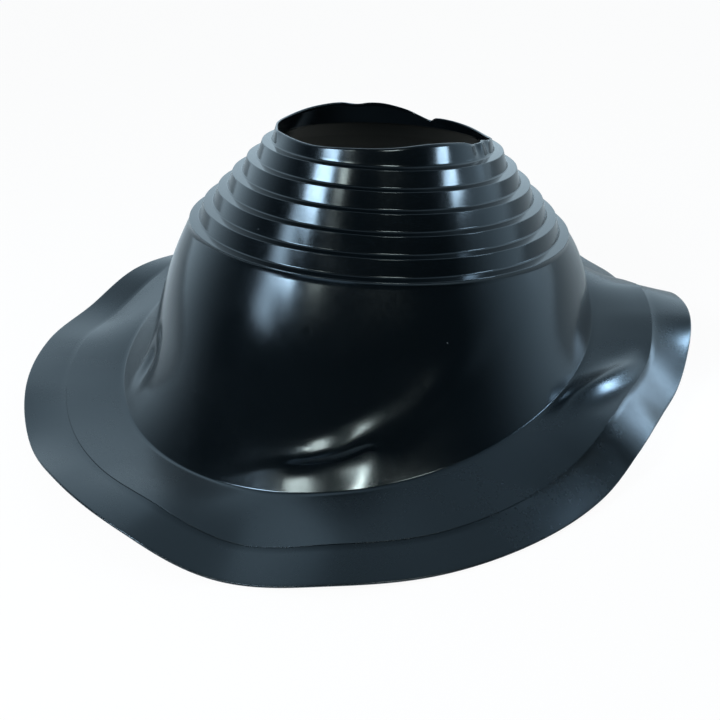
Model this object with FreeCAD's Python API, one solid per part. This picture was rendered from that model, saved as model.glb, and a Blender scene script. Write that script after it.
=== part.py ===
import FreeCAD, Part
import math
import os

# Sizes in millimetres, angles in degrees.
# Z is square to the roof, Y runs up the slope, and the origin is where the pipe's axis meets the roof.

# Stepped rings, coaxial with the pipe.
LEAN = 9.5
WALL = 2.5
RING_COUNT = 6
RING_STEP_IN = 14.2
RING_STEP_UP = 14.1
LOW_RING_RADIUS = 185.5
LOW_RING_HEIGHT = 130.0
LEDGE_WIDTH = 9.0
LEDGE_FALL = 0.4
SKIRT_BAND = 3.0

# Trimmed neck above the top ring, heights measured from the foot of its wall.
NECK_LEAN_IN = 0.32
NECK_WALL = 2.0
RIM_STATIONS = [
    (0, 16.1), (10, 12.1), (20, 13.1), (40, 8.6), (60, 5.6), (80, 8.1), (93, 9.4), (103, 9.0), (106, 6.0),
    (113, 9.5), (121, 14.6), (135, 19.6), (144, 20.1), (152, 18.6), (163, 20.6), (181, 18.6), (207, 13.6),
    (235, 12.6), (260, 11.6), (280, 10.6), (300, 12.6), (320, 14.6), (340, 17.6),
]
# Creases pressed into the neck: angle, half width, depth at the rim.
NECK_CREASES = [(11, 3.5, 4.0), (21, 3.5, 3.0), (245, 5.0, -1.5)]

# Bell, from the lowest ring down to the foot circle on the roof.
FOOT_RADIUS = 238.5
FOOT_DOWN_SLOPE = 28.0
FOOT_HEIGHT = 30.7
FOOT_TILT = 6.0
# How far the bell wall stands outside a straight one: angle, high up, half way, low down.
BELLY_STATIONS = [
    (0, 0, 0, -4), (20, 3, 2, 0), (45, 7.6, 6.8, 3.4), (90, 5, 5, 3), (135, 3, 3, 0), (180, 2, 2, -8),
    (231, -1, 0.6, -28), (260, -2, -2, -22), (290, -2, -3, -16), (320, -2, -3, -12), (340, -1, -2, -8),
]
# Fold across the front of the bell: angle, share of the drop, height, half width as a share of the drop.
FOLD_STATIONS = [
    (0, 0.25, 0, 0.1), (150, 0.6, 0, 0.1), (292, 0.93, 0, 0.05), (300, 0.87, 0.7, 0.05),
    (304, 0.862, 1.0, 0.05), (308, 0.842, 1.2, 0.055), (314, 0.80, 1.6, 0.07), (318.5, 0.755, 2.3, 0.09),
    (323, 0.69, 3.0, 0.11), (327, 0.60, 3.5, 0.125), (332, 0.49, 3.0, 0.13), (338, 0.38, 1.5, 0.13),
    (346, 0.3, 0, 0.12),
]
FOLD_FADE = 8.0
# Pocket pressed in under the fold, down to the foot: angle, share of the drop at its upper edge, depth.
POCKET_STATIONS = [
    (0, 0.9, 0), (150, 0.9, 0), (288, 0.97, 0), (293, 0.956, 1.0), (297.5, 0.919, 1.8), (302, 0.888, 2.3),
    (307, 0.869, 2.6), (312.5, 0.863, 2.6), (318, 0.845, 2.6), (322, 0.86, 1.5), (327, 0.9, 0),
]
POCKET_EASE = 0.035

# Flange: two bands that keep their widths while they bend.
INNER_BAND = 53.0
OUTER_BAND = 35.0
OVAL = 2.5
OVAL_TURN = 62.0
INNER_THICK = 3.2
OUTER_THICK = 2.2
# Waves of the flange, height of its top face: angle, line between the bands, outer edge.
WAVE_STATIONS = [
    (0, 33, 14), (3, 38.4, 19), (9, 39.6, 20.4), (15, 38.8, 17), (21, 38.6, 18), (28, 43.6, 28.6),
    (36, 48.3, 44), (45, 47.5, 38), (52, 36.5, 22), (60, 24, 5.5), (68, 19.5, 5), (75, 17, 6.5),
    (95, 24, 20), (125, 33, 18), (150, 28, 9), (168, 26, 5), (180, 27, 12), (195, 16, 22), (210, 8, 15),
    (225, 18, 24), (240, 19, 28), (255, 18, 22), (270, 20, 30.5), (285, 21, 24.5), (300, 5, 5),
    (315, 13, 8), (330, 10, 4.5), (345, 14, 5), (354, 22.5, 8),
]
STEEPEST = 0.9
# Bulge that crosses the inner band: angle, share of the band at its crest, height.
# The band draws in by the slack times the height squared where it bulges.
BULGE_STATIONS = [
    (0, 0.12, 2), (3, 0.17, 5), (5.5, 0.25, 7), (9, 0.44, 8), (12, 0.55, 8), (15, 0.65, 7), (18, 0.75, 5),
    (21, 0.85, 2.5), (26, 0.9, 0), (150, 0.5, 0), (348, 0.1, 0), (354, 0.1, 0),
]
BULGE_HALF = 0.25
BULGE_SLACK = 0.05

# Control points round the closed faces and down the bell.
ROUND_COUNT = 88
NECK_COUNT = 108
BELL_ROW_COUNT = 6
HOLLOW_STRIP_COUNT = 4
FIT_ROUNDS = 12
SEW_GAP = 0.01
JOIN_GAP = 0.001


def axis_point(radius, angle, height):
    """Point about the leaning pipe axis."""
    turn = math.radians(angle)
    tip = math.radians(LEAN)
    across = radius * math.cos(turn)
    up_slope = radius * math.sin(turn)
    y = up_slope * math.cos(tip) + height * math.sin(tip)
    z = height * math.cos(tip) - up_slope * math.sin(tip)
    return FreeCAD.Vector(across, y, z)


def roof_point(radius, angle, height):
    """Point about the centre of the foot circle, square to the roof."""
    turn = math.radians(angle)
    return FreeCAD.Vector(radius * math.cos(turn), radius * math.sin(turn) - FOOT_DOWN_SLOPE, height)


def foot_height(radius, angle):
    """Height of the tilted foot disc."""
    return FOOT_HEIGHT + radius * math.sin(math.radians(angle)) * math.tan(math.radians(FOOT_TILT))


def angles(count):
    return [360.0 * k / count for k in range(count)]


def wave(stations, column, angle):
    """Smooth closed run through the stations."""
    before = [k for k in range(len(stations)) if stations[k][0] <= angle][-1]
    near = []
    for k in range(before - 1, before + 3):
        turns, place = divmod(k, len(stations))
        near.append((stations[place][0] + 360.0 * turns, stations[place][column]))
    span = near[2][0] - near[1][0]
    share = (angle - near[1][0]) / span
    leave = span * (near[2][1] - near[0][1]) / (near[2][0] - near[0][0])
    arrive = span * (near[3][1] - near[1][1]) / (near[3][0] - near[1][0])
    rise = near[2][1] - near[1][1]
    square = 3.0 * rise - 2.0 * leave - arrive
    cube = leave + arrive - 2.0 * rise
    return near[1][1] + share * (leave + share * (square + share * cube))


def bump(place, centre, half):
    """Bell-shaped bump, one at its centre, for angles or shares."""
    return math.exp(-(((place - centre) / half) ** 2))


def turn_gap(angle, centre):
    return (angle - centre + 180.0) % 360.0 - 180.0


def closed_poles(points):
    """Control points of the smooth closed curve through the points."""
    count = len(points)
    poles = list(points)
    for _ in range(FIT_ROUNDS):
        after = poles[1:] + poles[:1]
        passed = [(poles[k - 1] + poles[k] * 4.0 + after[k]) * (1.0 / 6.0) for k in range(count)]
        poles = [poles[k] + points[k] - passed[k] for k in range(count)]
    return poles[-1:] + poles[:-1]


def closed_surface(rows, degree):
    """Smooth surface closed round the collar; its edges are the first and the last row."""
    poles = [closed_poles(row) for row in rows]
    inner_knots = len(rows) - degree - 1
    across_mults = [degree + 1] + [1] * inner_knots + [degree + 1]
    across_knots = list(range(len(across_mults)))
    round_knots = list(range(len(rows[0]) + 1))
    round_mults = [1] * len(round_knots)
    surface = Part.BSplineSurface()
    surface.buildFromPolesMultsKnots(
        poles, across_mults, round_mults, across_knots, round_knots, False, True, degree, 3
    )
    return surface


def strips(rows):
    """Faces that run straight from each row to the next."""
    return [closed_surface(rows[k:k + 2], 1).toShape() for k in range(len(rows) - 1)]


def row_below(surface, share, depth):
    """Row of points at one depth below a surface, at a share of its way across."""
    across = share * surface.getUKnots()[-1]
    return [
        surface.value(across, place) - surface.normal(across, place) * depth
        for place in surface.getVKnots()[:-1]
    ]


def inset_corner(before, corner, after, depth):
    """Corner of a profile moved inwards so that both its sides lie the same depth inside."""
    arrive = (corner - before).normalize()
    leave = (after - corner).normalize()
    sides = [FreeCAD.Vector(-leg.z, 0, leg.x) for leg in (arrive, leave)]
    middle = sides[0] + sides[1]
    return corner + middle * (depth / (1.0 + sides[0].dot(sides[1])))


def ring_profile():
    """Outer and inner corners of the rings, from the bell up to the foot of the neck."""
    outer = [FreeCAD.Vector(LOW_RING_RADIUS, 0, LOW_RING_HEIGHT - SKIRT_BAND)]
    for k in range(RING_COUNT):
        edge = LOW_RING_RADIUS - k * RING_STEP_IN
        height = LOW_RING_HEIGHT + k * RING_STEP_UP
        outer.append(FreeCAD.Vector(edge, 0, height))
        outer.append(FreeCAD.Vector(edge - LEDGE_WIDTH, 0, height + LEDGE_FALL))
    neck = outer[-1] + FreeCAD.Vector(-NECK_LEAN_IN, 0, 1.0)
    ends = outer + [neck]
    inner = [outer[0] - FreeCAD.Vector(WALL, 0, 0)]
    inner += [inset_corner(ends[k - 1], ends[k], ends[k + 1], WALL) for k in range(1, len(outer))]
    inner.append(inner[-1] + (neck - outer[-1]) * (outer[-1].z - inner[-1].z))
    return outer, inner


def rings():
    """Solid stack of rings, spun round the pipe axis."""
    outer, inner = ring_profile()
    section = Part.makePolygon(outer + inner[::-1] + outer[:1])
    stack = Part.Face(section).revolve(FreeCAD.Vector(), FreeCAD.Vector(0, 0, 1), 360.0)
    stack.rotate(FreeCAD.Vector(), FreeCAD.Vector(1, 0, 0), -LEAN)
    return stack


def neck():
    """Ragged neck, trimmed with a knife, with its creases."""
    outer, inner = ring_profile()
    outside = [[], []]
    inside = [[], []]
    for angle in angles(NECK_COUNT):
        tall = wave(RIM_STATIONS, 1, angle)
        pressed = sum(depth * bump(turn_gap(angle, at), 0.0, half) for at, half, depth in NECK_CREASES)
        rim = outer[-1].x - NECK_LEAN_IN * tall - pressed
        outside[0].append(axis_point(outer[-1].x, angle, outer[-1].z))
        outside[1].append(axis_point(rim, angle, outer[-1].z + tall))
        inside[0].append(axis_point(inner[-1].x, angle, outer[-1].z))
        inside[1].append(axis_point(rim - NECK_WALL, angle, outer[-1].z + tall))
    return solid_from(strips([outside[0], outside[1], inside[1], inside[0], outside[0]]))


def row_shares(count):
    """Shares of the drop at which the control rows of a cubic wall lie."""
    spans = count - 3
    knots = [0] * 3 + list(range(spans + 1)) + [spans] * 3
    return [sum(knots[k + 1:k + 4]) / (3.0 * spans) for k in range(count)]


def pocket(angle, share):
    """Depth of the pocket under the fold."""
    upper = wave(POCKET_STATIONS, 1, angle)
    depth = wave(POCKET_STATIONS, 2, angle)
    if share > upper:
        return depth * (1.0 - share) / (1.0 - upper)
    return depth * bump(share, upper, POCKET_EASE)


def wall_push(angle, share):
    """How far the bell wall stands outside a straight one."""
    high, half_way, low = [wave(BELLY_STATIONS, k, angle) for k in (1, 2, 3)]
    rest = 1.0 - share
    belly = 4.0 * share * rest ** 3 * high + 4.0 * share ** 3 * rest * low
    belly += 6.0 * (share * rest) ** 2 * half_way
    crest, height, half = [wave(FOLD_STATIONS, k, angle) for k in (1, 2, 3)]
    fold = height * bump(share, crest, half)
    return belly + fold * min(1.0, FOLD_FADE * share * rest) - pocket(angle, share)


def bell_column(angle):
    """Control points of the bell wall, from the lowest ring to the foot, at one angle."""
    out = roof_point(1.0, angle, 0.0) - roof_point(0.0, angle, 0.0)
    column = []
    for share in row_shares(BELL_ROW_COUNT):
        radius = LOW_RING_RADIUS + (FOOT_RADIUS - LOW_RING_RADIUS) * share
        leaning = axis_point(radius, angle, LOW_RING_HEIGHT - SKIRT_BAND)
        lying = roof_point(radius, angle, foot_height(radius, angle))
        column.append(leaning * (1.0 - share) + lying * share + out * wall_push(angle, share))
    return column


def flange_legs(angle):
    """Foot, line between the bands and outer edge at one angle, as radius and height."""
    inner_band = INNER_BAND - BULGE_SLACK * wave(BULGE_STATIONS, 2, angle) ** 2
    outer_band = OUTER_BAND + OVAL * math.cos(math.radians(2.0 * (angle - OVAL_TURN)))
    foot = FreeCAD.Vector(FOOT_RADIUS, 0, foot_height(FOOT_RADIUS, angle))
    line_height = wave(WAVE_STATIONS, 1, angle)
    edge_height = wave(WAVE_STATIONS, 2, angle)
    first_rise = max(-STEEPEST, min(STEEPEST, (line_height - foot.z) / inner_band))
    second_rise = max(-STEEPEST, min(STEEPEST, (edge_height - line_height) / outer_band))
    first = FreeCAD.Vector(math.sqrt(1.0 - first_rise ** 2), 0, first_rise)
    second = FreeCAD.Vector(math.sqrt(1.0 - second_rise ** 2), 0, second_rise)
    line = foot + first * inner_band
    return foot, line, line + second * outer_band


def square_to(first, last):
    """Upward direction square to a leg of the flange."""
    leg = (last - first).normalize()
    return FreeCAD.Vector(-leg.z, 0, leg.x)


def middle(first, last, height):
    """Point half way along a leg, raised by the height."""
    return (first + last) * 0.5 + square_to(first, last) * height


def flange_loop(angle):
    """Section of the flange at one angle, from the foot outwards and back underneath."""
    foot, line, edge = flange_legs(angle)
    step = INNER_THICK - OUTER_THICK
    crest, height = [wave(BULGE_STATIONS, k, angle) for k in (1, 2)]
    bulge = height * bump(0.5, crest, BULGE_HALF)
    edge_up = square_to(line, edge)
    line_up = (square_to(foot, line) + edge_up).normalize()
    low_line = line - line_up * INNER_THICK
    low_foot = FreeCAD.Vector(FOOT_RADIUS - WALL, 0, foot.z - INNER_THICK)
    top = [foot, middle(foot, line, bulge), line, line - line_up * step, edge - edge_up * step]
    return top + [edge - edge_up * INNER_THICK, low_line, middle(low_foot, low_line, bulge), low_foot]


def bell_and_flange():
    """Bell and flange, the bell's outer face smooth and its hidden face in straight strips."""
    columns = []
    for angle in angles(ROUND_COUNT):
        loop = [roof_point(spot.x, angle, spot.z) for spot in flange_loop(angle)]
        ring = axis_point(LOW_RING_RADIUS - WALL, angle, LOW_RING_HEIGHT - SKIRT_BAND)
        columns.append(bell_column(angle) + loop + [ring])
    rows = [list(row) for row in zip(*columns)]
    bell = closed_surface(rows[:BELL_ROW_COUNT], 3)
    inside = [row_below(bell, k / HOLLOW_STRIP_COUNT, WALL) for k in range(HOLLOW_STRIP_COUNT - 1, 0, -1)]
    path = rows[BELL_ROW_COUNT:-1] + inside + [rows[-1], rows[0]]
    return solid_from([bell.toShape()] + strips(path))


def solid_from(faces):
    """One closed solid from faces that meet edge to edge."""
    skins = Part.Compound(faces)
    skins.sewShape(SEW_GAP)
    solid = Part.Solid(skins.Shells[0])
    if solid.Volume < 0:
        solid.reverse()
    return solid


os.makedirs("parts", exist_ok=True)
collar = rings().multiFuse([neck(), bell_and_flange()], JOIN_GAP).Solids[0]
print("valid", collar.isValid(), "volume", round(collar.Volume), "faces", len(collar.Faces))
print("box", collar.BoundBox)
collar.exportStep("parts/rubber_collar.step")
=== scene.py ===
# %% [markdown]
# # Rubber roof collar
# A soft black moulding that seals a pipe where it passes a roof. On the real object the rings, the bell
# and the flange come out of one mould in one shot, so there is one piece and one finish. The script spins
# the plain moulding from its section, bends it the way it lies, and gives it its rubber last.

import math

import bmesh
import bpy
from mathutils import Matrix, Vector


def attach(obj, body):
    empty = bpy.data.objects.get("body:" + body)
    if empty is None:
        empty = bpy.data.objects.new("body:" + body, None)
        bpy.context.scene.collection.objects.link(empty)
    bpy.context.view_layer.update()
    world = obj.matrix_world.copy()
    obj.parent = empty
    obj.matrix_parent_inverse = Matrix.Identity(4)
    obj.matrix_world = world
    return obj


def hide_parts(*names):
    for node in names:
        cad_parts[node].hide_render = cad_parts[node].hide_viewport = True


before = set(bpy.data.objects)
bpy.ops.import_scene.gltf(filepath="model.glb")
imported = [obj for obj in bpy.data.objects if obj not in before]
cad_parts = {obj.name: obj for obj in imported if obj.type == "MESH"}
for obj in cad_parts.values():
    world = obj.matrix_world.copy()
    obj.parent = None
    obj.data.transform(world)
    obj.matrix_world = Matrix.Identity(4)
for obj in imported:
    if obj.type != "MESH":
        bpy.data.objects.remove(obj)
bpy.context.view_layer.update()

# %% [markdown]
# ## Sizes
# All lengths are in millimetres until the finished piece is scaled to metres. The pipe's axis leans
# towards +Y; the foot of the bell is a circle that is tipped the other way and lies further down the slope.
# Typing the sizes once, with names, means that a changed ring carries the neck and the bell with it.

# %% Sizes
MM = 0.001
LEAN = math.radians(9.5)
WALL = 2.5
RING_COUNT = 6
RING_STEP_IN = 14.2
RING_STEP_UP = 14.1
LOW_RING_RADIUS = 185.5
LOW_RING_HEIGHT = 130.0
LEDGE_WIDTH = 9.0
LEDGE_FALL = 0.4
BELL_TOP = LOW_RING_HEIGHT - 3.0
NECK_FOOT = LOW_RING_HEIGHT + (RING_COUNT - 1) * RING_STEP_UP + LEDGE_FALL
NECK_RADIUS = LOW_RING_RADIUS - (RING_COUNT - 1) * RING_STEP_IN - LEDGE_WIDTH
NECK_LEAN_IN = 0.32
NECK_PLAIN = 10.0
NECK_WALL = 2.0
FOOT_RADIUS = 238.5
FOOT_DOWN_SLOPE = 28.0
FOOT_HEIGHT = 30.7
FOOT_TILT = math.radians(6.0)
FOOT_LEVEL = 32.0
BELL_DROP = BELL_TOP - FOOT_LEVEL
INNER_BAND = 53.0
OUTER_BAND = 35.0
INNER_THICK = 3.2
OUTER_THICK = 2.2
print("neck", round(2 * NECK_RADIUS), "mm across, foot", round(2 * FOOT_RADIUS), "mm across")

# %% [markdown]
# ## Smooth runs round the collar
# The collar isn't round any more: it was cut, stacked and bent. Each departure is given at a few angles,
# counted from +X towards +Y, and a smooth closed curve runs through them. A drawn curve object would
# do the same, but a short function can be asked for its value at any point of the mesh.

# %% Smooth runs
def wave(stations, column, angle):
    """Smooth closed run through stations (angle in degrees, value, ...)."""
    before = [k for k in range(len(stations)) if stations[k][0] <= angle][-1]
    near = []
    for k in range(before - 1, before + 3):
        turns, place = divmod(k, len(stations))
        near.append((stations[place][0] + 360.0 * turns, stations[place][column]))
    span = near[2][0] - near[1][0]
    share = (angle - near[1][0]) / span
    leave = span * (near[2][1] - near[0][1]) / (near[2][0] - near[0][0])
    arrive = span * (near[3][1] - near[1][1]) / (near[3][0] - near[1][0])
    rise = near[2][1] - near[1][1]
    bend = 3 * rise - 2 * leave - arrive + share * (leave + arrive - 2 * rise)
    return near[1][1] + share * (leave + share * bend)


def bump(gap, half):
    """One at the middle, falling away softly on both sides."""
    return math.exp(-((gap / half) ** 2))


def turn_gap(angle, centre):
    """Angle from the centre, the short way round."""
    return (angle - centre + 180.0) % 360.0 - 180.0


print("a bump is", round(bump(1.0, 1.0), 2), "high one half-width away")

# %% [markdown]
# ## The cut rim
# The neck was cut with a knife to suit the pipe, so its height goes up and down: here are the angle and
# the height left standing. The creases are places where the thin neck is pressed in, or out if negative.

# %% Rim
RIM = [
    (0, 16.1), (10, 12.1), (20, 13.1), (40, 8.6), (60, 5.6), (80, 8.1), (93, 9.4), (103, 9.0),
    (106, 6.0), (113, 9.5), (121, 14.6), (135, 19.6), (144, 20.1), (152, 18.6), (163, 20.6),
    (181, 18.6), (207, 13.6), (235, 12.6), (260, 11.6), (280, 10.6), (300, 12.6), (320, 14.6), (340, 17.6),
]
NECK_CREASES = [(11, 3.5, 4.0), (21, 3.5, 3.0), (245, 5.0, -1.5)]
print("the rim stands", min(high for angle, high in RIM), "to", max(high for angle, high in RIM), "mm high")

# %% [markdown]
# ## The bell and the fold at its toe
# BELLY swells or hollows the bell high, half-way and low. FOLD is the soft ridge that runs down to the
# toe: its place on the way down, height and half-width. POCKET is the crease below it, where the wall is
# pressed in: place, depth, how softly it starts above, and how soon it straightens below.
# Sculpting would be quicker, but a row of numbers can be measured against the photograph.

# %% Bell and toe
BELLY = [
    (0, 0, 0, -4), (20, 3, 2, 0), (45, 7.6, 6.8, 3.4), (90, 5, 5, 3), (135, 3, 3, 0), (180, 2, 2, -8),
    (231, -1, 0.6, -28), (260, -2, -2, -22), (290, -2, -3, -16), (320, -2, -3, -12), (340, -1, -2, -8),
]
FOLD = [
    (0, 0.25, 0, 0.1), (150, 0.6, 0, 0.1), (292, 0.95, 0, 0.05), (300, 0.89, 0.6, 0.05),
    (304, 0.872, 1.8, 0.05), (308, 0.85, 3.0, 0.055), (314, 0.814, 3.0, 0.07), (318.5, 0.782, 2.6, 0.09),
    (323, 0.742, 2.6, 0.11), (327, 0.69, 2.8, 0.125), (332, 0.60, 2.6, 0.13), (338, 0.49, 1.3, 0.13),
    (346, 0.38, 0, 0.12),
]
POCKET = [
    (0, 0.9, 0, 0.05, 1), (150, 0.9, 0, 0.05, 1), (288, 0.985, 0, 0.03, 3), (293, 0.961, 0.25, 0.03, 3),
    (297.5, 0.925, 0.5, 0.035, 3), (302, 0.901, 0.9, 0.04, 2.6), (305, 0.889, 1.7, 0.04, 1.2),
    (309, 0.878, 2.1, 0.045, 1), (313.5, 0.872, 2.2, 0.05, 1), (317, 0.855, 2.4, 0.05, 1.2),
    (319.5, 0.837, 2.5, 0.05, 1.8), (322.5, 0.85, 1.2, 0.06, 2), (327, 0.9, 0, 0.07, 2),
]
BELL_DENTS = [(248, 3, 0.78, 0.12, 5.0)]
RELIEF_FADE = 8.0
# The next two numbers set the painted shade in the fold: how far it reaches below the crease, and the
# pocket depth at which it is full.
PAINTED_SHADE_REACH = 0.008
PAINTED_SHADE_FULL_DEPTH = 2.0
print("the toe is pressed in by", max(row[2] for row in POCKET), "mm at most")

# %% [markdown]
# ## The flange's waves
# A flat rubber sheet that is pushed about keeps its width, so only heights are given: at the line between
# the two bands and at the outer edge. BULGE is the swelling on the right: its place across the inner
# band and its height; the band is a little shorter there, because it arches.

# %% Flange
WAVES = [
    (0, 33, 14), (3, 38.4, 19), (9, 39.6, 20.4), (15, 38.8, 17), (21, 38.6, 18), (28, 43.6, 28.6),
    (36, 48.3, 44), (45, 47.5, 38), (52, 36.5, 22), (60, 24, 5.5), (68, 19.5, 5), (75, 17, 6.5),
    (95, 24, 20), (125, 33, 18), (150, 28, 9), (168, 26, 5), (180, 27, 12), (195, 16, 22), (210, 8, 15),
    (225, 18, 24), (240, 19, 28), (255, 18, 22), (270, 20, 30.5), (285, 21, 24.5), (300, 5, 5),
    (315, 13, 8), (330, 10, 4.5), (345, 14, 5), (354, 22.5, 8),
]
BULGE = [
    (0, 0.2, 0.4), (3, 0.24, 2.4), (5.5, 0.3, 5.5), (9, 0.44, 8), (12, 0.55, 8), (15, 0.65, 7),
    (18, 0.75, 5), (21, 0.85, 2.5), (26, 0.9, 0), (150, 0.5, 0), (348, 0.2, 0), (354, 0.2, 0),
]
BULGE_HALF = 0.25
BULGE_FADE = 5.0
BULGE_SLACK = 0.05
STEEPEST = 0.9
HINGE = 8.0
OVAL = 2.5
OVAL_TURN = math.radians(62.0)
print("the flange's edge rises to", max(row[2] for row in WAVES), "mm")

# %% [markdown]
# ## Helpers for the section
# A mould's cutter leaves a small rounding in each corner. A bevel could add them on the finished mesh, but
# it would also catch the waves; rounding the flat outline before it is spun keeps each radius exact.

# %% Section helpers
ARC_POINTS = 4


def run(first, last, pieces):
    """Points from first towards last, without the last one."""
    return [first.lerp(last, k / pieces) for k in range(pieces)]


def curve(points, share):
    """Point of a smooth run that starts and ends on the first and last of the points."""
    while len(points) > 1:
        points = [a.lerp(b, share) for a, b in zip(points, points[1:])]
    return points[0]


def rounded(before, corner, after, radius):
    """Points of an arc that takes the place of a corner."""
    one = (before - corner).normalized()
    two = (after - corner).normalized()
    half = 0.5 * one.angle(two)
    middle = corner + (one + two).normalized() * (radius / math.sin(half))
    start = corner + one * (radius / math.tan(half)) - middle
    sweep = (math.pi - 2.0 * half) * (1.0 if start.cross(two) > 0.0 else -1.0)
    turns = [Matrix.Rotation(sweep * k / (ARC_POINTS - 1), 2) for k in range(ARC_POINTS)]
    return [middle + turn @ start for turn in turns]


def inset(before, corner, after, depth):
    """Corner moved to the right of its outline so that both sides lie the same depth inside."""
    sides = [Vector((leg.y, -leg.x)).normalized() for leg in (corner - before, after - corner)]
    return corner + (sides[0] + sides[1]) * (depth / (1.0 + sides[0].dot(sides[1])))


print("each rounding has", ARC_POINTS, "points")

# %% [markdown]
# ## Corners of the section
# The half plane holds the radius and the height. From the neck the corners go down the rings, which all
# have the same step, along the bell, out over the flange and round its edge. The line between the two
# bands is a step down, because the outer band is thinner.

# %% Corners
neck_top = Vector((NECK_RADIUS - NECK_LEAN_IN * NECK_PLAIN, NECK_FOOT + NECK_PLAIN))
ring_corners = []
for k in reversed(range(RING_COUNT)):
    edge = LOW_RING_RADIUS - k * RING_STEP_IN
    height = LOW_RING_HEIGHT + k * RING_STEP_UP
    ring_corners += [Vector((edge - LEDGE_WIDTH, height + LEDGE_FALL)), Vector((edge, height))]
bell_start = Vector((LOW_RING_RADIUS, BELL_TOP))
bell_end = Vector((FOOT_RADIUS, FOOT_LEVEL))
line = Vector((FOOT_RADIUS + INNER_BAND, FOOT_LEVEL))
step = Vector((line.x, FOOT_LEVEL - INNER_THICK + OUTER_THICK))
edge_top = Vector((line.x + OUTER_BAND, step.y))
edge_low = Vector((edge_top.x, FOOT_LEVEL - INNER_THICK))
line_low = Vector((line.x, edge_low.y))
foot_low = Vector((FOOT_RADIUS - WALL, edge_low.y))
print("the rings have", len(ring_corners), "corners")

# %% [markdown]
# ## Section of the plain moulding
# One closed outline: down the outside, round the lip of the flange, back along its underside and up the
# inside, one wall further in. The toe and the bell get more points than the rest, because the fold and the
# waves need them later.

# %% Section
EDGE_ROUND = 0.8
HOLLOW_ROUND = 1.8
LIP_ROUND = 0.95
STEP_ROUND = 0.25
TOE_SHARE = 0.8
NECK_PIECES = 6
BELL_PIECES = 40
TOE_PIECES = 32
INNER_PIECES = 16
OUTER_PIECES = 12
HIDDEN_PIECES = 24

trail = [neck_top] + ring_corners + run(bell_start, bell_end, HIDDEN_PIECES) + [bell_end]
ring_run = []
for k, corner in enumerate(ring_corners):
    ring_run += rounded(trail[k], corner, trail[k + 2], EDGE_ROUND if k % 2 else HOLLOW_ROUND)
toe_start = bell_start.lerp(bell_end, TOE_SHARE)
outside = run(neck_top, ring_run[0], NECK_PIECES) + ring_run
outside += run(bell_start, toe_start, BELL_PIECES) + run(toe_start, bell_end, TOE_PIECES)
outside += run(bell_end, line, INNER_PIECES)
outside += rounded(bell_end, line, step, STEP_ROUND) + rounded(line, step, edge_top, STEP_ROUND)
outside += run(step, edge_top, OUTER_PIECES)[1:]
lip = rounded(step, edge_top, edge_low, LIP_ROUND) + rounded(edge_top, edge_low, line_low, LIP_ROUND)
underside = run(edge_low, line_low, OUTER_PIECES)[1:] + run(line_low, foot_low, INNER_PIECES) + [foot_low]
inside = [inset(trail[k - 1], trail[k], trail[k + 1], WALL) for k in range(1, len(trail) - 1)]
neck_inner = neck_top - Vector((NECK_WALL, 0))
back = inside[:0:-1] + run(inside[0], neck_inner, NECK_PIECES) + [neck_inner]
section = outside + lip + underside + back
print("the section has", len(section), "points")

# %% [markdown]
# ## Spin the plain moulding
# The real mould is turned, so the outline is spun once round the axis. Each point notes how far it belongs
# to the flange, because the flange is duller than the cone, and has room for a note on the fold, which sets
# painted shade there.

# %% Spin
TURN_STEPS = 360
DULL_START = FOOT_RADIUS + 1.0
DULL_WIDTH = 4.0

work = bmesh.new()
dots = [work.verts.new((p.x, 0.0, p.y)) for p in section]
rods = [work.edges.new((a, b)) for a, b in zip(dots, dots[1:] + dots[:1])]
bmesh.ops.spin(
    work, geom=dots + rods, cent=(0, 0, 0), axis=(0, 0, 1), dvec=(0, 0, 0),
    angle=math.tau, steps=TURN_STEPS, use_merge=True,
)
bmesh.ops.recalc_face_normals(work, faces=work.faces)
work.verts.layers.float.new("flange")
work.verts.layers.float.new("fold")
dull = work.verts.layers.float["flange"]
shade = work.verts.layers.float["fold"]
for vert in work.verts:
    vert[dull] = min(1.0, max(0.0, (math.hypot(vert.co.x, vert.co.y) - DULL_START) / DULL_WIDTH))
print("spun:", len(work.verts), "points,", len(work.faces), "faces")

# %% [markdown]
# ## Where the plain moulding goes
# Two simple places to start from: about the leaning axis, for the rings and the neck, and about the foot,
# which lies lower down the slope. The neck is stretched or cut down to the height of the trimmed rim.

# %% Lean and neck
def about_axis(radius, turn, height):
    up_slope = radius * math.sin(turn)
    y = up_slope * math.cos(LEAN) + height * math.sin(LEAN)
    return Vector((radius * math.cos(turn), y, height * math.cos(LEAN) - up_slope * math.sin(LEAN)))


def about_foot(radius, turn, height):
    return Vector((radius * math.cos(turn), radius * math.sin(turn) - FOOT_DOWN_SLOPE, height))


def foot_height(radius, turn):
    return FOOT_HEIGHT + radius * math.sin(turn) * math.tan(FOOT_TILT)


def bend_neck(radius, turn, height):
    angle = math.degrees(turn)
    share = (height - NECK_FOOT) / NECK_PLAIN
    tall = wave(RIM, 1, angle)
    pressed = sum(depth * bump(turn_gap(angle, at), half) for at, half, depth in NECK_CREASES)
    lean = NECK_LEAN_IN * (tall - NECK_PLAIN) + pressed
    return about_axis(radius - lean * share, turn, NECK_FOOT + share * tall)


print("the foot is", round(foot_height(FOOT_RADIUS, math.radians(270.0)), 1), "mm high at the toe")
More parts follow.
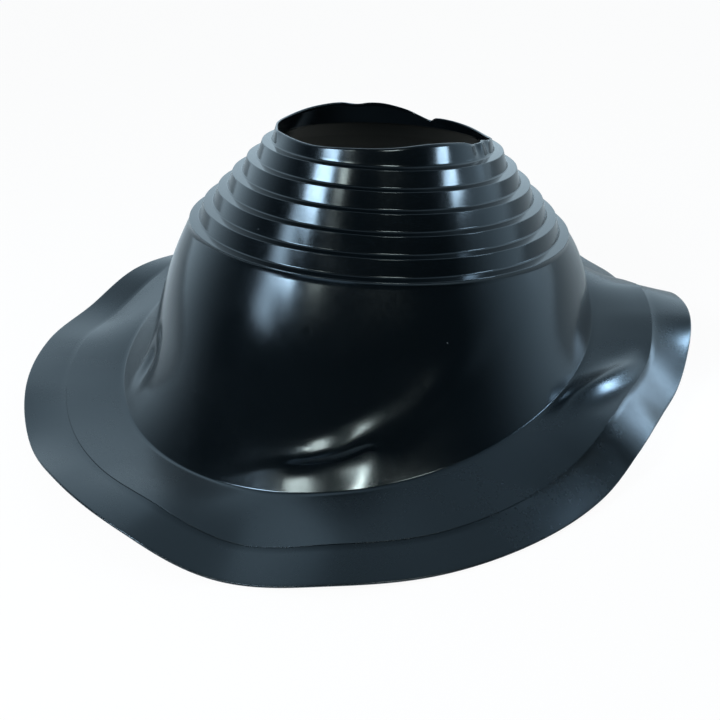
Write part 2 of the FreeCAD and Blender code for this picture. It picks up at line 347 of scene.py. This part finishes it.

# %% [markdown]
# ## Bend the bell
# Each level of the bell is tipped and slid a little further, until the last one lies on the foot circle.
# The belly, the ridge, the dent and the pocket push it straight out or in. The note on the fold marks the
# overhung strip above the crease for painted shade: the rubber is made to reflect less there, standing in
# for the shade that falls under the overhang.

# %% Bend the bell
def bend_bell(radius, turn, height):
    angle = math.degrees(turn)
    share = min(1.0, (BELL_TOP - height) / BELL_DROP)
    low = about_foot(radius, turn, foot_height(radius, turn) - max(0.0, FOOT_LEVEL - height))
    place = about_axis(radius, turn, BELL_TOP).lerp(low, share)
    belly = [0] + [wave(BELLY, k, angle) for k in (1, 2, 3)] + [0]
    push = curve([Vector((out, 0)) for out in belly], share).x
    relief = wave(FOLD, 2, angle) * bump(share - wave(FOLD, 1, angle), wave(FOLD, 3, angle))
    for at, half, down, span, deep in BELL_DENTS:
        relief -= deep * bump(turn_gap(angle, at), half) * bump(share - down, span)
    push += relief * min(1.0, RELIEF_FADE * share * (1.0 - share))
    crease = wave(POCKET, 1, angle)
    if share > crease:
        deep = ((1.0 - share) / (1.0 - crease)) ** wave(POCKET, 4, angle)
    else:
        deep = bump(crease - share, wave(POCKET, 3, angle))
    push -= wave(POCKET, 2, angle) * deep
    return place + Vector((math.cos(turn), math.sin(turn), 0.0)) * push


def fold_painted_shade(turn, height):
    """How deep a point of the bell lies in the shade of the fold: the mask for the painted shade."""
    angle = math.degrees(turn)
    gap = wave(POCKET, 1, angle) - (BELL_TOP - height) / BELL_DROP
    reach = wave(POCKET, 3, angle) if gap > 0.0 else PAINTED_SHADE_REACH
    return min(1.0, max(0.0, wave(POCKET, 2, angle) / PAINTED_SHADE_FULL_DEPTH)) * bump(gap, reach)


print("the toe's foot goes to", [round(v) for v in bend_bell(FOOT_RADIUS, math.radians(310.0), FOOT_LEVEL)])

# %% [markdown]
# ## Bend the flange
# Each band is a straight leg of fixed width in the radial plane, turned until it reaches the height of its
# wave. The thickness is laid off square to the legs and goes over softly from one to the other at the line.

# %% Bend the flange
def leg_to(rise_by, width):
    """Leg of length one whose slope takes it up by a height over a width."""
    rise = max(-STEEPEST, min(STEEPEST, rise_by / width))
    return Vector((math.sqrt(1.0 - rise * rise), rise))


def bend_flange(radius, turn, height):
    angle = math.degrees(turn)
    outer_band = OUTER_BAND + OVAL * math.cos(2.0 * (turn - OVAL_TURN))
    foot = Vector((FOOT_RADIUS, foot_height(FOOT_RADIUS, turn)))
    line_height = wave(WAVES, 1, angle)
    swell = wave(BULGE, 2, angle)
    inner_band = INNER_BAND - BULGE_SLACK * swell * swell
    first = leg_to(line_height - foot.y, inner_band)
    second = leg_to(wave(WAVES, 2, angle) - line_height, outer_band)
    reach = radius - FOOT_RADIUS
    blend = min(1.0, max(0.0, 0.5 + (reach - INNER_BAND) / HINGE))
    normals = [Vector((-leg.y, leg.x)) for leg in (first, second)]
    normal = normals[0].lerp(normals[1], blend).normalized()
    over = max(0.0, reach - INNER_BAND) * outer_band / OUTER_BAND
    share = min(1.0, max(0.0, reach / INNER_BAND))
    place = foot + first * inner_band * share + second * over
    swell *= bump(share - wave(BULGE, 1, angle), BULGE_HALF)
    place += normals[0] * swell * min(1.0, BULGE_FADE * share, BULGE_FADE * (1.0 - share))
    place += normal * (height - FOOT_LEVEL) + Vector((min(0.0, reach), 0.0))
    return about_foot(place.x, turn, place.y)


print("the line at 0 degrees goes to", [round(v) for v in bend_flange(line.x, 0.0, FOOT_LEVEL)])

# %% [markdown]
# ## Bend it all
# Every point of the spun mesh goes to its bent place, by the zone that it belongs to. The underside of the
# flange reaches in under the bell, so it is told apart by its height. Last comes the scale to metres.

# %% Bend
UNDERSIDE = FOOT_LEVEL - INNER_THICK + 0.01

for vert in work.verts:
    x, y, height = vert.co
    radius = math.hypot(x, y)
    turn = math.atan2(y, x) % math.tau
    if height > NECK_FOOT:
        vert.co = bend_neck(radius, turn, height)
    elif height >= BELL_TOP:
        vert.co = about_axis(radius, turn, height)
    elif height > UNDERSIDE and radius <= FOOT_RADIUS:
        # Note how deep this point lies in the fold's shade, for the painted shade in the rubber.
        vert[shade] = fold_painted_shade(turn, height)
        vert.co = bend_bell(radius, turn, height)
    else:
        vert.co = bend_flange(radius, turn, height)
bmesh.ops.scale(work, vec=(MM, MM, MM), verts=work.verts)
for face in work.faces:
    face.smooth = True
bmesh.ops.recalc_face_normals(work, faces=work.faces)
print("bent", len(work.verts), "points")

# %% [markdown]
# ## The piece
# The mesh becomes the one piece that stands for the CAD node. Weighted normals let the large faces lead the
# shading, so that the small roundings catch a line of light and the walls between them stay even.

# %% Piece
FACE_WEIGHT = 50

shape = bpy.data.meshes.new("rubber_collar_skin")
work.to_mesh(shape)
work.free()
collar = bpy.data.objects.new("rubber_collar_skin", shape)
bpy.context.scene.collection.objects.link(collar)
even = collar.modifiers.new("even_shading", "WEIGHTED_NORMAL")
even.weight = FACE_WEIGHT
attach(collar, "root")
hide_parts("rubber_collar")
print("bent collar:", len(shape.polygons), "faces")

# %% [markdown]
# ## Helpers for the rubber
# A finish is built from a few kinds of node again and again: a stretched value, two values put together,
# a grain, and a note read back from the mesh. One short helper for each keeps the recipe readable.

# %% Rubber helpers
rubber = bpy.data.materials.new("rubber")
rubber.use_nodes = True
tree = rubber.node_tree
skin = tree.nodes["Principled BSDF"]
place = tree.nodes.new("ShaderNodeTexCoord")


def add(kind, **values):
    """New node of the rubber with its plain values set."""
    node = tree.nodes.new(kind)
    for key, value in values.items():
        node.inputs[key.replace("_", " ")].default_value = value
    return node


def spread_out(source, low, high, to_low, to_high):
    """A value stretched from one range to another."""
    node = add("ShaderNodeMapRange", From_Min=low, From_Max=high, To_Min=to_low, To_Max=to_high)
    tree.links.new(source, node.inputs["Value"])
    return node.outputs[0]


def combine(operation, one, two):
    """Two values added or multiplied."""
    node = tree.nodes.new("ShaderNodeMath")
    node.operation = operation
    tree.links.new(one, node.inputs[0])
    tree.links.new(two, node.inputs[1])
    return node.outputs[0]


def noise(size, detail, squeeze=(1.0, 1.0, 1.0)):
    """Grain of the given scale, drawn out along an axis that is squeezed."""
    stretch = tree.nodes.new("ShaderNodeVectorMath")
    stretch.operation = "MULTIPLY"
    stretch.inputs[1].default_value = squeeze
    node = add("ShaderNodeTexNoise", Scale=size, Detail=detail)
    tree.links.new(place.outputs["Object"], stretch.inputs[0])
    tree.links.new(stretch.outputs[0], node.inputs["Vector"])
    return node.outputs["Fac"]


def mark(name):
    """A note that the mesh carries."""
    node = tree.nodes.new("ShaderNodeAttribute")
    node.attribute_name = name
    return node.outputs["Fac"]


print("the rubber starts with", len(tree.nodes), "nodes")

# %% [markdown]
# ## Sheen of the rubber
# Fresh rubber is almost black, and what shows is the room in its skin: sharp on the cone, softer on the
# flange. Handling leaves smudges and fine upright streaks, so they change the roughness and not the colour.
# In the fold the reflection is turned down as painted shade, so the overhung strip above the crease stays
# dark.

# %% Rubber
CONE_ROUGH = 0.15
FLANGE_ROUGH = 0.26
SMUDGE_SCALE = 14.0
STREAK_SCALE = 260.0
STREAK_DRAWN = (1.0, 1.0, 0.08)
GRAIN_SCALE = 330.0
GRAIN_DRAWN = (1.0, 1.0, 0.35)
OPEN_SHEEN = 0.5
# Specular level in the fold, lowered there as painted shade.
FOLD_PAINTED_SHADE_SHEEN = 0.05

skin.inputs["IOR"].default_value = 1.53
skin.inputs["Specular Tint"].default_value = (0.72, 0.88, 1.0, 1.0)
gloss = spread_out(mark("flange"), 0.0, 1.0, CONE_ROUGH, FLANGE_ROUGH)
smudge = spread_out(noise(SMUDGE_SCALE, 4.0), 0.45, 0.75, -0.015, 0.07)
streak = spread_out(noise(STREAK_SCALE, 2.0, STREAK_DRAWN), 0.3, 0.7, -0.015, 0.015)
tree.links.new(combine("ADD", combine("ADD", gloss, smudge), streak), skin.inputs["Roughness"])
# Painted shade: the specular level falls in the fold and darkens the strip above the crease.
sheen = spread_out(mark("fold"), 0.0, 1.0, OPEN_SHEEN, FOLD_PAINTED_SHADE_SHEEN)
tree.links.new(sheen, skin.inputs["Specular IOR Level"])
grain = add("ShaderNodeBump", Strength=0.025, Distance=0.0003)
tree.links.new(noise(GRAIN_SCALE, 3.0, GRAIN_DRAWN), grain.inputs["Height"])
tree.links.new(grain.outputs[0], skin.inputs["Normal"])
print("the sheen has", len(tree.nodes), "nodes")

# %% [markdown]
# ## Dust
# A few pale specks lie on the real collar. A cell pattern gives one dot to each cell; only the cells whose
# own colour is high enough keep theirs, so the specks stay rare and lie anywhere.

# %% Dust
BLACK = (0.0018, 0.003, 0.004, 1.0)
DUST_GREY = (0.16, 0.17, 0.18, 1.0)
SPECK_SCALE = 55.0
SPECK_CORE = 0.018
SPECK_EDGE = 0.03

speck = add("ShaderNodeTexVoronoi", Scale=SPECK_SCALE)
tree.links.new(place.outputs["Object"], speck.inputs["Vector"])
lot = tree.nodes.new("ShaderNodeSeparateColor")
tree.links.new(speck.outputs["Color"], lot.inputs[0])
some = spread_out(lot.outputs[0], 0.90, 0.93, 0.0, 1.0)
dot = spread_out(speck.outputs["Distance"], SPECK_CORE, SPECK_EDGE, 1.0, 0.0)
colour = tree.nodes.new("ShaderNodeMix")
colour.data_type = "RGBA"
colour.inputs[6].default_value = BLACK
colour.inputs[7].default_value = DUST_GREY
tree.links.new(combine("MULTIPLY", some, dot), colour.inputs[0])
tree.links.new(colour.outputs[2], skin.inputs["Base Color"])
shape.materials.append(rubber)
print("the rubber has", len(tree.nodes), "nodes")

# %% [markdown]
# ## Floor
# A pale studio floor. The camera sees it almost as pure white light, with a little of the real paint left
# in, so that the collar's shadow stays; every other ray sees the paint.

# %% Floor
FLOOR_SIZE = 12.0
WHITE_SHARE = 0.94

bpy.ops.mesh.primitive_plane_add(size=FLOOR_SIZE, location=(0, 0, 0))
floor = bpy.context.object
floor.name = "floor"
paint = bpy.data.materials.new("floor_white")
paint.use_nodes = True
tree = paint.node_tree
matt = tree.nodes["Principled BSDF"]
matt.inputs["Base Color"].default_value = (0.85, 0.86, 0.87, 1.0)
matt.inputs["Roughness"].default_value = 0.7
glow = tree.nodes.new("ShaderNodeEmission")
seen = tree.nodes.new("ShaderNodeLightPath")
part = tree.nodes.new("ShaderNodeMath")
part.operation = "MULTIPLY"
part.inputs[1].default_value = WHITE_SHARE
blend = tree.nodes.new("ShaderNodeMixShader")
tree.links.new(seen.outputs["Is Camera Ray"], part.inputs[0])
tree.links.new(part.outputs[0], blend.inputs[0])
tree.links.new(matt.outputs[0], blend.inputs[1])
tree.links.new(glow.outputs[0], blend.inputs[2])
tree.links.new(blend.outputs[0], tree.nodes["Material Output"].inputs["Surface"])
floor.data.materials.append(paint)
print("floor", FLOOR_SIZE, "metres wide")

# %% [markdown]
# ## The room round the collar
# Black rubber shows its room. The photograph's reflections say that the room is pale and cool at the back
# and on the left, dark in front, and dimmer at one place overhead. A world that fades by direction does
# this without any walls. The camera itself sees plain white.

# %% Room
DARK_WAY = (0.483, -0.8365, 0.259)
DIM_WAY = (-0.161, 0.441, 0.883)
PALE_ROOM = 1.5
DARK_ROOM = 0.02

world = bpy.data.worlds.new("studio")
world.use_nodes = True
tree = world.node_tree
sky = tree.nodes["Background"]
sky.inputs["Color"].default_value = (0.68, 0.87, 1.0, 1.0)
way = tree.nodes.new("ShaderNodeTexCoord")


def towards(direction, start, end, before, after):
    """Strength that goes over softly as a ray turns towards a direction."""
    facing = tree.nodes.new("ShaderNodeVectorMath")
    facing.operation = "DOT_PRODUCT"
    facing.inputs[1].default_value = direction
    fade = add("ShaderNodeMapRange", From_Min=start, From_Max=end, To_Min=before, To_Max=after)
    fade.interpolation_type = "SMOOTHSTEP"
    tree.links.new(way.outputs["Generated"], facing.inputs[0])
    tree.links.new(facing.outputs["Value"], fade.inputs["Value"])
    return fade.outputs[0]


front = towards(DARK_WAY, -0.45, 0.5, PALE_ROOM, DARK_ROOM)
overhead = towards(DIM_WAY, 0.86, 0.95, 1.0, 0.5)
tree.links.new(combine("MULTIPLY", front, overhead), sky.inputs["Strength"])
white = tree.nodes.new("ShaderNodeBackground")
white.inputs["Color"].default_value = (1.0, 1.0, 1.0, 1.0)
seen = tree.nodes.new("ShaderNodeLightPath")
blend = tree.nodes.new("ShaderNodeMixShader")
tree.links.new(seen.outputs["Is Camera Ray"], blend.inputs[0])
tree.links.new(sky.outputs[0], blend.inputs[1])
tree.links.new(white.outputs[0], blend.inputs[2])
tree.links.new(blend.outputs[0], tree.nodes["World Output"].inputs["Surface"])
bpy.context.scene.world = world
print("the room has", len(tree.nodes), "nodes")

# %% [markdown]
# ## Lamps
# Each bright patch on the rubber is a lamp seen in it, so each lamp stands where the mirror direction from
# its patch leads. Small lamps with a narrow spread are like softboxes with a grid: they reach their own
# patch and leave the rest of the collar dark.

# %% Lamps
COOL = (0.60, 0.80, 1.0)
PALE = (0.72, 0.87, 1.0)
GREENISH = (1.0, 1.0, 0.88)
RINGS = (0.05, -0.05, 0.19)
LOW_RING_LEFT = (0.055, -0.145, 0.155)
TOE = (-0.02, -0.27, 0.05)
HOOK = (0.170, -0.171, 0.03)
CREASE = (0.104, -0.233, 0.035)
RIGHT_BAND = (0.268, 0.02, 0.043)
RIGHT_EDGE = (0.29, 0.035, 0.03)
FRONT_EDGE = (0.05, -0.33, 0.02)


def softbox(name, place, target, wide, tall, power, tint, spread=180.0):
    light = bpy.data.lights.new(name, "AREA")
    light.shape = "RECTANGLE"
    light.size = wide
    light.size_y = tall
    light.energy = power
    light.color = tint
    light.spread = math.radians(spread)
    lamp = bpy.data.objects.new(name, light)
    lamp.location = place
    lamp.rotation_euler = (Vector(place) - Vector(target)).to_track_quat("Z", "Y").to_euler()
    bpy.context.scene.collection.objects.link(lamp)


softbox("left_softbox", (-0.136, -1.044, 0.90), RINGS, 0.34, 0.295, 11.0, PALE)
softbox("left_card", (-0.076, -0.575, 0.374), LOW_RING_LEFT, 0.17, 0.13, 0.0052, PALE, 16.0)
softbox("right_softbox", (0.40, 0.135, 0.293), RINGS, 0.08, 0.045, 0.062, PALE, 80.0)
softbox("flange_softbox", (0.382, 0.228, 0.36), RIGHT_BAND, 0.10, 0.24, 0.08, COOL, 22.0)
softbox("edge_softbox", (0.52, 0.579, 0.253), RIGHT_EDGE, 0.20, 0.12, 0.032, COOL, 40.0)
softbox("ceiling_lamp_left", (0.39, -1.81, 1.61), TOE, 0.26, 0.28, 4.2, GREENISH)
softbox("ceiling_lamp_middle", (0.489, -0.633, 0.596), HOOK, 0.058, 0.10, 0.0046, GREENISH, 10.0)
softbox("ceiling_lamp_far_left", (0.104, -0.80, 0.60), CREASE, 0.10, 0.06, 0.0046, GREENISH, 10.0)
softbox("ceiling_lamp_right", (1.36, -0.70, 1.68), RINGS, 0.5, 0.26, 10.0, GREENISH)
softbox("front_card", (0.60, -1.83, 0.26), FRONT_EDGE, 1.04, 0.48, 1.4, COOL)
print("the room has", len(bpy.data.lights), "lamps")

# %% [markdown]
# ## Camera
# The camera stands where the photographer's did: its place, its turn and its lens were fitted to the rings,
# the foot circle and the outline. The three directions are its right, its up and its back.

# %% Camera
RIGHT_WAY = (0.67793, 0.73041, -0.08311)
UP_WAY = (-0.36413, 0.43185, 0.82518)
BACK_WAY = (0.63861, -0.52915, 0.55873)
CAMERA_PLACE = (0.5192, -0.4523, 0.4280)

camera_data = bpy.data.cameras.new("camera")
camera_data.sensor_width = 36.0
camera_data.lens = 37.5
camera = bpy.data.objects.new("camera", camera_data)
pose = Matrix((RIGHT_WAY, UP_WAY, BACK_WAY)).transposed().to_4x4()
pose.translation = Vector(CAMERA_PLACE)
camera.matrix_world = pose
bpy.context.scene.collection.objects.link(camera)
bpy.context.scene.camera = camera
bpy.context.scene.view_settings.view_transform = "Standard"
print("camera", round(Vector(CAMERA_PLACE).length, 2), "metres from the origin")
